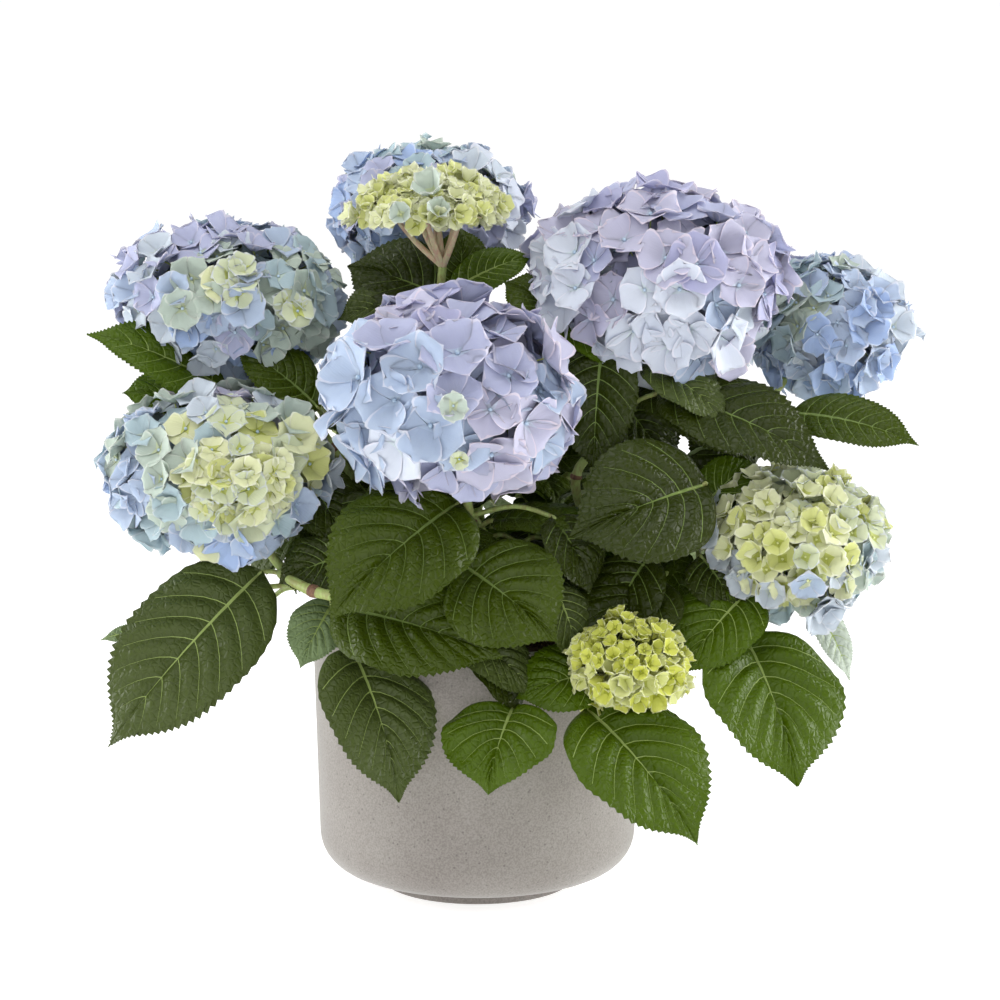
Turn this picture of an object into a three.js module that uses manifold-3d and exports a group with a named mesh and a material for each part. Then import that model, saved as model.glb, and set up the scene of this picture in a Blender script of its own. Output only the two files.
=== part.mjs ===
// A mophead hydrangea in a round cast-stone pot: flower heads, canes, shoots, leafy masses and
// the single leaves that stand out of the crown. Millimetres, +Z up, the origin at the centre
// of the pot's flat underside, -Y towards the front.

import * as THREE from 'three';
import { mergeVertices } from 'three/addons/utils/BufferGeometryUtils.js';
import Module from 'manifold-3d';

const wasm = await Module();
wasm.setup();

// ---------------------------------------------------------------- driving dimensions

const GAP = 0.35; // clearance that touching solids keep

const POT = {
  height: 192,
  rimRadius: 118.5, // the wall flares a little from its foot to its rim
  baseRadius: 113.5,
  cornerRadius: 27,
  wall: 9,
  floor: 16,
  rimRound: 2.5,
  footRadius: 71, // recessed disc that the pot stands on
  footHeight: 11,
  innerBevel: 14, // the hollow's floor is bevelled up to its wall
  sides: 30,
};

const CORNER_STEPS = 4; // flats round the pot's lower corner
const SOIL_BELOW_RIM = 20;
const SOIL_CROWN = { height: 4, radius: 30 }; // the compost is a little higher round the canes
const CANE_DEPTH = 4; // how far below the compost's edge a cane starts

const CANE = { baseRadius: 5.2, tipRadius: 4.2, sides: 6, stepsEach: 2 };
const SHOOT = { baseRadius: 3.7, tipRadius: 3.1, sides: 5, stepsEach: 2 };
const PETIOLE = { radius: 1.9, steps: 4, bendAt: 0.55, bendRise: 0.12 };
const LIMB_SAMPLES = 40; // places along a shoot where a petiole may spring
const RIM_CLEARANCE = 7; // how far above the rim a hanging leaf's petiole passes
const SEARCHED_SHARE = 0.6; // the rest of a shoot is its flower head's
const BLADE = {
  thickness: 1.8,
  stations: 6,
  widestAt: 0.4,
  fullness: 0.9, // below 1 the outline stays wide for longer before it runs to its tip
  tipDraw: 0.15, // how much the outline is drawn in towards its tip
  tipAt: 0.97,
  leastHalfWidth: 1.5,
};

const HEAD_LUMPS = 0.045; // share of a flower head's radius that its florets stand in and out
const LEAFAGE_LUMPS = 0.10;

// ---------------------------------------------------------------- finishes

function finish(color, roughness) {
  return () => new THREE.MeshStandardMaterial({ color, roughness, metalness: 0 });
}

const castStone = finish('#9a948e', 0.85);
const compost = finish('#3b2a1e', 0.95);
const bark = finish('#8a7350', 0.8);
const greenStem = finish('#93a862', 0.6);
const leafGreen = finish('#41602c', 0.5);
const PETALS = {
  lilac: finish('#a9ade0', 0.6),
  blue: finish('#9fb6dd', 0.6),
  cream: finish('#d6dfb4', 0.6),
  lime: finish('#c3cc5c', 0.6),
};

// ---------------------------------------------------------------- from meshes to solids

function solidOf(geometry) {
  const bare = geometry.clone();
  bare.deleteAttribute('normal');
  bare.deleteAttribute('uv');
  const merged = mergeVertices(bare, 1e-4);
  return new wasm.Manifold(new wasm.Mesh({
    numProp: 3,
    vertProperties: new Float32Array(merged.attributes.position.array),
    triVerts: new Uint32Array(merged.index.array),
  }));
}

function geometryOf(solid) {
  const mesh = solid.getMesh();
  const geometry = new THREE.BufferGeometry();
  geometry.setAttribute('position', new THREE.BufferAttribute(mesh.vertProperties, 3));
  geometry.setIndex(new THREE.BufferAttribute(mesh.triVerts, 1));
  geometry.computeVertexNormals();
  return geometry;
}

// Rings of equal length, one after the other, joined by quads and closed at both ends.
function skin(rings) {
  const sides = rings[0].length;
  const last = rings.length - 1;
  const corners = rings.flat();
  const ends = [0, last].map((r) => {
    const middle = new THREE.Vector3();
    rings[r].forEach((p) => middle.addScaledVector(p, 1 / sides));
    return corners.push(middle) - 1;
  });
  const index = [];
  for (let k = 0; k < sides; k += 1) {
    const next = (k + 1) % sides;
    for (let r = 0; r < last; r += 1) {
      const [a, b] = [r * sides + k, r * sides + next];
      index.push(a, b, b + sides, a, b + sides, a + sides);
    }
    index.push(ends[0], next, k);
    index.push(ends[1], last * sides + k, last * sides + next);
  }
  const geometry = new THREE.BufferGeometry();
  geometry.setAttribute('position', new THREE.Float32BufferAttribute(
    corners.flatMap((p) => [p.x, p.y, p.z]), 3));
  geometry.setIndex(index);
  return geometry;
}

// ---------------------------------------------------------------- shapes

const vec = (p) => new THREE.Vector3(...p);
const radians = THREE.MathUtils.degToRad;

// A round, slightly flattened lump: its underside is drawn in by `under`, its surface is uneven.
function lump({ at, width, depth, height, under = 1, detail = 3, unevenness, phase }, grow = 0) {
  const geometry = new THREE.IcosahedronGeometry(1, detail);
  const position = geometry.attributes.position;
  const direction = new THREE.Vector3();
  for (let i = 0; i < position.count; i += 1) {
    direction.fromBufferAttribute(position, i).normalize();
    const { x, y, z } = direction;
    const ripple = Math.sin(5.1 * x + phase) * Math.sin(4.3 * y + 2 * phase)
      + Math.sin(6.2 * z + 3 * phase) * Math.cos(3.7 * x - phase);
    const swell = 1 - unevenness + unevenness * 0.5 * ripple;
    const rise = z < 0 ? height * under : height;
    position.setXYZ(
      i,
      at[0] + x * (width * swell + grow),
      at[1] + y * (depth * swell + grow),
      at[2] + z * (rise * swell + grow),
    );
  }
  return solidOf(geometry);
}

// A limb that tapers along a smooth curve, with `stepsEach` steps between its points.
function limb(points, { baseRadius, tipRadius, sides, stepsEach }, grow = 0) {
  const curve = new THREE.CatmullRomCurve3(points.map(vec));
  const steps = stepsEach * (points.length - 1);
  const chord = curve.getPoint(1).sub(curve.getPoint(0)).normalize();
  const reference = Math.abs(chord.z) > 0.6 ? new THREE.Vector3(1, 0, 0) : new THREE.Vector3(0, 0, 1);
  const rings = [];
  for (let s = 0; s <= steps; s += 1) {
    const along = s / steps;
    const centre = curve.getPoint(along);
    const tangent = curve.getTangent(along);
    const across = reference.clone().cross(tangent).normalize();
    const up = tangent.clone().cross(across);
    const radius = THREE.MathUtils.lerp(baseRadius, tipRadius, along) + grow;
    const ring = [];
    for (let k = 0; k < sides; k += 1) {
      const angle = (2 * Math.PI * k) / sides;
      ring.push(centre.clone()
        .addScaledVector(across, radius * Math.cos(angle))
        .addScaledVector(up, radius * Math.sin(angle)));
    }
    rings.push(ring);
  }
  return solidOf(skin(rings));
}

// Half the width of an ovate leaf with a drawn-out tip, as a share of its greatest half width.
function ovate(along) {
  const { widestAt, fullness, tipDraw } = BLADE;
  if (along < widestAt) {
    return Math.sqrt(1 - ((widestAt - along) / widestAt) ** 2);
  }
  const past = (along - widestAt) / (1 - widestAt);
  return Math.cos((Math.PI / 2) * past) ** fullness * (1 - tipDraw * past);
}

// Where a leaf lies: `heading` is the way it points, `dip` how far below level it hangs and
// `turn` its roll about its own length. Its midrib runs along the local X, its face looks up Z.
function placeOf({ at, heading, dip, turn = 0 }) {
  return new THREE.Matrix4()
    .makeRotationFromEuler(new THREE.Euler(radians(turn), radians(dip), radians(heading), 'ZYX'))
    .setPosition(...at);
}

// Cross sections of a leaf blade, thickest at its midrib and sharp at its edges: `arch` is how
// much it curves down along its length and `fold` how far its halves stand up from the midrib.
function bladeRings(spec, grow) {
  const { length, width, arch = 30, fold = 14 } = spec;
  const { stations, thickness, tipAt, leastHalfWidth } = BLADE;
  const place = placeOf(spec);
  const step = (length + 2 * grow) / (stations - 1);
  const midrib = new THREE.Vector3(-grow, 0, 0);
  const rings = [];
  for (let s = 0; s < stations; s += 1) {
    const along = s / (stations - 1);
    const slope = radians(arch) * (0.5 - along);
    const outline = (width / 2) * ovate(Math.min(along, tipAt));
    const half = Math.max(outline, leastHalfWidth) + 2 * grow;
    const side = new THREE.Vector3(
      0, half * Math.cos(radians(fold)), half * Math.sin(radians(fold)));
    const up = new THREE.Vector3(-Math.sin(slope), 0, Math.cos(slope))
      .multiplyScalar(thickness / 2 + 2 * grow);
    const left = midrib.clone().add(side);
    const right = midrib.clone().add(side.setY(-side.y));
    rings.push([right, midrib.clone().sub(up), left, midrib.clone().add(up)]
      .map((p) => p.applyMatrix4(place)));
    const onward = radians(arch) * (0.5 - along - 0.5 / (stations - 1));
    midrib.add(new THREE.Vector3(Math.cos(onward) * step, 0, Math.sin(onward) * step));
  }
  return rings;
}

// The point of the shoots that lies nearest below a leaf, short of their flower heads.
function nearestOn(curves, target) {
  let best = null;
  curves.forEach((curve) => {
    const points = curve.getSpacedPoints(LIMB_SAMPLES).slice(0, SEARCHED_SHARE * LIMB_SAMPLES);
    points.forEach((point) => {
      const far = point.distanceTo(target) + Math.max(0, point.z - target.z);
      if (!best || far < best.far) best = { far, point };
    });
  });
  return best.point;
}

// A leaf with its petiole, which springs from the nearest shoot and arches up to the blade, or
// over the pot's rim where the blade hangs below it.
function leaf(spec, limbCurves, grow = 0) {
  const base = vec(spec.at);
  const foot = nearestOn(limbCurves, base);
  const bend = foot.clone().lerp(base, PETIOLE.bendAt);
  bend.z += PETIOLE.bendRise * foot.distanceTo(base);
  if (base.z < POT.height + RIM_CLEARANCE) {
    bend.set(base.x, base.y, 0).setLength(POT.rimRadius - POT.wall / 2);
    bend.z = POT.height + RIM_CLEARANCE;
  }
  const route = new THREE.CatmullRomCurve3([foot, bend, base]);
  const bladeLeft = new THREE.Vector3(0, 1, 0).transformDirection(placeOf(spec));
  const petioleRings = [];
  for (let s = 0; s < PETIOLE.steps; s += 1) {
    const along = s / PETIOLE.steps;
    const centre = route.getPoint(along);
    const tangent = route.getTangent(along);
    const left = bladeLeft.clone().addScaledVector(tangent, -tangent.dot(bladeLeft)).normalize();
    const up = tangent.clone().cross(left);
    const radius = PETIOLE.radius + grow;
    petioleRings.push([
      centre.clone().addScaledVector(left, -radius), centre.clone().addScaledVector(up, -radius),
      centre.clone().addScaledVector(left, radius), centre.clone().addScaledVector(up, radius),
    ]);
  }
  return solidOf(skin([...petioleRings, ...bladeRings(spec, grow)]));
}

// ---------------------------------------------------------------- pot and compost

const cavityRadius = (z) => THREE.MathUtils.lerp(
  POT.baseRadius - POT.wall, POT.rimRadius - POT.wall, z / POT.height);

function potSolid(grow = 0) {
  const p = POT;
  const inside = p.footHeight + p.floor;
  const outline = [[0, 0], [p.footRadius, 0], [p.footRadius, p.footHeight]];
  const corner = { x: p.baseRadius - p.cornerRadius, y: p.footHeight + p.cornerRadius };
  for (let k = 0; k <= CORNER_STEPS; k += 1) {
    const angle = radians(-90 + (90 * k) / CORNER_STEPS);
    outline.push([
      corner.x + (p.cornerRadius + grow) * Math.cos(angle),
      corner.y + (p.cornerRadius + grow) * Math.sin(angle),
    ]);
  }
  outline.push([p.rimRadius + grow, p.height - p.rimRound]);
  outline.push([p.rimRadius - p.rimRound + grow, p.height + grow]);
  outline.push([cavityRadius(p.height) + p.rimRound - grow, p.height + grow]);
  outline.push([cavityRadius(p.height - p.rimRound) - grow, p.height - p.rimRound]);
  outline.push([cavityRadius(inside + p.innerBevel) - grow, inside + p.innerBevel]);
  outline.push([cavityRadius(inside) - p.innerBevel, inside], [0, inside]);
  return solidOf(new THREE.LatheGeometry(outline.map((q) => new THREE.Vector2(...q)), p.sides)
    .rotateX(Math.PI / 2));
}

function rootBallSolid(grow = 0) {
  const bottom = POT.footHeight + POT.floor + GAP;
  const top = POT.height - SOIL_BELOW_RIM + grow;
  const bevelTop = bottom + POT.innerBevel;
  const outline = [
    [0, bottom], [cavityRadius(bottom) - POT.innerBevel - GAP, bottom],
    [cavityRadius(bevelTop) - GAP, bevelTop], [cavityRadius(top) - GAP, top],
    [SOIL_CROWN.radius, top + SOIL_CROWN.height], [0, top + SOIL_CROWN.height],
  ];
  return solidOf(new THREE.LatheGeometry(outline.map((q) => new THREE.Vector2(...q)), POT.sides)
    .rotateX(Math.PI / 2));
}

// ---------------------------------------------------------------- the plant's parts

const CANE_FOOT = POT.height - SOIL_BELOW_RIM - CANE_DEPTH;
const UNDERSIDE = 0.86; // a flower head is shallower below its middle than above it

// Flower heads, by the middle of each one.
const HEADS = {
  head_left_upper: { at: [-178, 25, 420], width: 88, depth: 82, height: 64, tone: 'blue' },
  head_left_lower: { at: [-181, -50, 309], width: 86, depth: 78, height: 67, tone: 'cream' },
  head_back_tall: { at: [-36, 122, 474], width: 79, depth: 74, height: 56, tone: 'blue', detail: 2 },
  head_young_cream: { at: [-32, -12, 484], width: 55, depth: 50, height: 34, tone: 'cream', detail: 2 },
  head_middle: { at: [-17, -108, 369], width: 92, depth: 86, height: 79, tone: 'lilac' },
  head_right_upper: { at: [126, 2, 440], width: 98, depth: 90, height: 78, tone: 'lilac' },
  head_right_back: { at: [256, 88, 392], width: 61, depth: 60, height: 58, tone: 'blue', detail: 2 },
  head_right_lower: { at: [223, -50, 258], width: 67, depth: 62, height: 61, tone: 'cream', detail: 2 },
  head_lime_bud: { at: [104, -132, 191], width: 43, depth: 38, height: 36, tone: 'lime', detail: 2 },
  head_rear_left: { at: [-172, 158, 388], width: 66, depth: 62, height: 50, tone: 'blue', detail: 2 },
  head_rear_middle: { at: [15, 192, 340], width: 68, depth: 64, height: 52, tone: 'lilac', detail: 2 },
  head_rear_right: { at: [150, 168, 402], width: 68, depth: 64, height: 52, tone: 'blue', detail: 2 },
};

// Leafy masses round the canes and shoots, behind the leaves that stand out.
const LEAFAGE = {
  leafage_front: { at: [4, -66, 247], width: 88, depth: 36, height: 50 },
  leafage_left: { at: [-112, 12, 276], width: 56, depth: 58, height: 60 },
  leafage_right: { at: [136, -4, 268], width: 66, depth: 50, height: 62 },
  leafage_rear: { at: [-2, 120, 262], width: 112, depth: 52, height: 62 },
  leafage_top: { at: [-10, 42, 368], width: 68, depth: 50, height: 50 },
};

// Woody canes out of the compost, each with the place where it divides.
const CANES = {
  cane_left: [[-22, -6, CANE_FOOT], [-44, -10, 205], [-62, -14, 232]],
  cane_front: [[4, -22, CANE_FOOT], [10, -40, 200], [8, -52, 226]],
  cane_right: [[24, 4, CANE_FOOT], [54, 0, 215], [84, -6, 252]],
  cane_rear: [[-2, 22, CANE_FOOT], [-4, 50, 205], [-6, 76, 236]],
};

// Green shoots from a cane's top to a flower head.
const SHOOTS = {
  shoot_left_upper: { from: 'cane_left', via: [[-92, 2, 300]], head: 'head_left_upper' },
  shoot_left_lower: {
    from: 'cane_left', via: [[-92, -52, 224], [-132, -58, 236]], head: 'head_left_lower',
  },
  shoot_back_tall: { from: 'cane_rear', via: [[-22, 100, 340]], head: 'head_back_tall' },
  shoot_young_cream: { from: 'cane_rear', via: [[-24, 20, 330]], head: 'head_young_cream' },
  shoot_middle: { from: 'cane_front', via: [[-4, -74, 280]], head: 'head_middle' },
  shoot_right_upper: {
    from: 'cane_right', via: [[70, -28, 300], [92, -20, 338]], head: 'head_right_upper',
  },
  shoot_right_back: { from: 'cane_right', via: [[170, 40, 300]], head: 'head_right_back' },
  shoot_right_lower: { from: 'cane_right', via: [[150, -30, 226]], head: 'head_right_lower' },
  shoot_lime_bud: { from: 'cane_front', via: [[50, -92, 212]], head: 'head_lime_bud' },
  shoot_rear_left: { from: 'cane_rear', via: [[-92, 110, 300]], head: 'head_rear_left' },
  shoot_rear_middle: { from: 'cane_rear', via: [[4, 130, 270]], head: 'head_rear_middle' },
  shoot_rear_right: { from: 'cane_rear', via: [[90, 110, 300]], head: 'head_rear_right' },
};

// Single leaves that make the outline or lie over the pot and the masses.
const LEAVES = {
  leaf_far_left: { at: [-172, -8, 362], heading: 196, dip: -24, length: 118, width: 56, turn: -44 },
  leaf_big_left: { at: [-151, -62, 240], heading: 206, dip: 44, length: 165, width: 94, turn: -50 },
  leaf_left_rim: { at: [-104, -78, 222], heading: 236, dip: 44, length: 60, width: 46, turn: -20 },
  leaf_over_rim: { at: [-90, -106, 196], heading: 300, dip: 58, length: 116, width: 86 },
  leaf_front_low: { at: [20, -128, 170], heading: 262, dip: 48, length: 82, width: 84 },
  leaf_front_right: { at: [72, -128, 160], heading: 313, dip: 42, length: 130, width: 94, turn: 25 },
  leaf_right_hanging: { at: [182, -66, 190], heading: 296, dip: 50, length: 124, width: 104 },
  leaf_under_cream: { at: [192, -66, 228], heading: 222, dip: 36, length: 88, width: 66, turn: -30 },
  leaf_far_right: { at: [226, 18, 340], heading: 338, dip: 10, length: 98, width: 46, turn: 40 },
  leaf_right_shelf: { at: [122, -30, 360], heading: 340, dip: 18, length: 128, width: 64, turn: 34 },
  leaf_dark_glossy: { at: [156, -72, 310], heading: 208, dip: 14, length: 114, width: 94, turn: -58 },
  leaf_dark_low: { at: [128, -74, 236], heading: 226, dip: 30, length: 82, width: 76, turn: -24 },
  leaf_middle_left: { at: [-18, -110, 298], heading: 216, dip: 32, length: 128, width: 98, turn: -36 },
  leaf_middle_low: { at: [-86, -108, 230], heading: 338, dip: 14, length: 116, width: 76, turn: 54 },
  leaf_middle: { at: [-6, -108, 258], heading: 332, dip: 28, length: 92, width: 78, turn: 50 },
  leaf_top_left: { at: [-28, 26, 424], heading: 158, dip: -14, length: 84, width: 56, turn: -44 },
  leaf_top_right: { at: [-20, 20, 425], heading: 18, dip: -18, length: 76, width: 46, turn: 40 },
  leaf_by_bud: { at: [84, -110, 182], heading: 200, dip: 12, length: 70, width: 56, turn: -44 },
  leaf_under_left_head: { at: [-156, -6, 362], heading: 322, dip: 16, length: 74, width: 50, turn: 36 },
  leaf_under_right_head: { at: [98, -24, 380], heading: 192, dip: -30, length: 96, width: 54, turn: -40 },
  leaf_pale_hanging: { at: [236, -34, 220], heading: 335, dip: 62, length: 72, width: 36, turn: 34 },
  leaf_rear_left: { at: [-120, 120, 262], heading: 140, dip: 34, length: 140, width: 92 },
  leaf_rear_right: { at: [110, 130, 262], heading: 44, dip: 34, length: 140, width: 92 },
  leaf_rear_low: { at: [-20, 158, 206], heading: 98, dip: 40, length: 120, width: 84 },
  leaf_side_right: { at: [170, 60, 258], heading: 12, dip: 36, length: 130, width: 84 },
};

// ---------------------------------------------------------------- building and seating

// What is left of a solid once its neighbours are cleared, in its largest piece.
function clear(solid, neighbours) {
  const left = neighbours.reduce((piece, other) => piece.subtract(other), solid);
  return left.decompose().reduce((a, b) => (a.volume() >= b.volume() ? a : b));
}

const plant = new THREE.Group();
plant.name = 'hydrangea_in_pot';

function add(name, solid, material, at) {
  const geometry = geometryOf(solid).translate(-at[0], -at[1], -at[2]);
  const mesh = new THREE.Mesh(geometry, material());
  mesh.name = name;
  mesh.position.set(...at);
  plant.add(mesh);
}

const pot = potSolid();
const rootBall = rootBallSolid();
add('pot', pot, castStone, [0, 0, 0]);
add('root_ball', rootBall, compost, [0, 0, 0]);

const cleared = [potSolid(GAP)]; // grown copies of what is placed, for the next solids to clear

Object.entries(HEADS).forEach(([name, spec], k) => {
  const shape = { under: UNDERSIDE, unevenness: HEAD_LUMPS, phase: 1.3 * k, ...spec };
  add(name, clear(lump(shape), cleared), PETALS[spec.tone], spec.at);
  cleared.push(lump(shape, GAP));
});

Object.entries(CANES).forEach(([name, points]) => {
  add(name, clear(limb(points, CANE), [rootBallSolid(GAP), ...cleared]), bark, points[0]);
  cleared.push(limb(points, CANE, GAP));
});

const shootCurves = Object.entries(SHOOTS).map(([name, { from, via, head }]) => {
  const start = CANES[from].at(-1);
  const points = [start, ...via, HEADS[head].at];
  add(name, clear(limb(points, SHOOT), cleared), greenStem, start);
  cleared.push(limb(points, SHOOT, GAP));
  return new THREE.CatmullRomCurve3(points.map(vec));
});

Object.entries(LEAFAGE).forEach(([name, spec], k) => {
  const shape = { unevenness: LEAFAGE_LUMPS, phase: 0.7 + 1.9 * k, detail: 2, ...spec };
  add(name, clear(lump(shape), cleared), leafGreen, spec.at);
  cleared.push(lump(shape, GAP));
});

Object.entries(LEAVES).forEach(([name, spec]) => {
  add(name, clear(leaf(spec, shootCurves), cleared), leafGreen, spec.at);
  cleared.push(leaf(spec, shootCurves, GAP));
});

export default plant;
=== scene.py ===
"""A mophead hydrangea in a round cast-stone pot, in metres. +Z is up, -Y is the front."""

import math

import bmesh
import bpy
import numpy as np
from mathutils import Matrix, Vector


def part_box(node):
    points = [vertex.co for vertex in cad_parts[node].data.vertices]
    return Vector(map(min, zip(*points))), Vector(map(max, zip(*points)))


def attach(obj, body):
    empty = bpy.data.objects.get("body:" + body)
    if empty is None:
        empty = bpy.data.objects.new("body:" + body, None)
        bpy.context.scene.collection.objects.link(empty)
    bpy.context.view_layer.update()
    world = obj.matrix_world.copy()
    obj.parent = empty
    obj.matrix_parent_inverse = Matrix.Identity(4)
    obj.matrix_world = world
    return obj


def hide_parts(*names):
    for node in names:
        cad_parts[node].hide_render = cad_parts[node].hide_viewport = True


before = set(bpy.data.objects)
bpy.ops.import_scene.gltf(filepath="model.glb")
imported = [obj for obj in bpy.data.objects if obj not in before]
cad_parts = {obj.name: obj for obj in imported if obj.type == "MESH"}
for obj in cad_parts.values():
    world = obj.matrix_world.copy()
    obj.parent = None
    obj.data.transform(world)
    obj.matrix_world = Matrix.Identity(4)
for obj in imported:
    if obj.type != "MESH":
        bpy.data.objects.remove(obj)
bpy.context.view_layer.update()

scene = bpy.context.scene
rng = np.random.default_rng(20)
MM = 0.001

# ---- sizes shared with the solids

POT = dict(height=192 * MM, rim=118.5 * MM, base=113.5 * MM, corner=27 * MM, wall=9 * MM,
           foot=71 * MM, foot_height=11 * MM, floor=27 * MM)
SOIL_TOP, OVER_RIM = 172 * MM, 7 * MM
CANE_FOOT = 168
CANE_RADII = (5.2 * MM, 4.2 * MM)
SHOOT_RADII = (3.7 * MM, 3.0 * MM)
PETIOLE_RADII = (2.0 * MM, 1.5 * MM)
BLADE_THICK, SEPAL_THICK = 0.7 * MM, 0.5 * MM
NODE_GAP, STEM_SIDES = 38 * MM, 12

CANES = {
    "cane_left": [(-22, -6, CANE_FOOT), (-44, -10, 205), (-62, -14, 232)],
    "cane_front": [(4, -22, CANE_FOOT), (10, -40, 200), (8, -52, 226)],
    "cane_right": [(24, 4, CANE_FOOT), (54, 0, 215), (84, -6, 252)],
    "cane_rear": [(-2, 22, CANE_FOOT), (-4, 50, 205), (-6, 76, 236)],
}
# what is left of a cut stem, low on the left
STUB = [(-134, -58, 237), (-136, -74, 241), (-126, -98, 240), (-112, -114, 237), (-98, -126, 236)]
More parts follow.
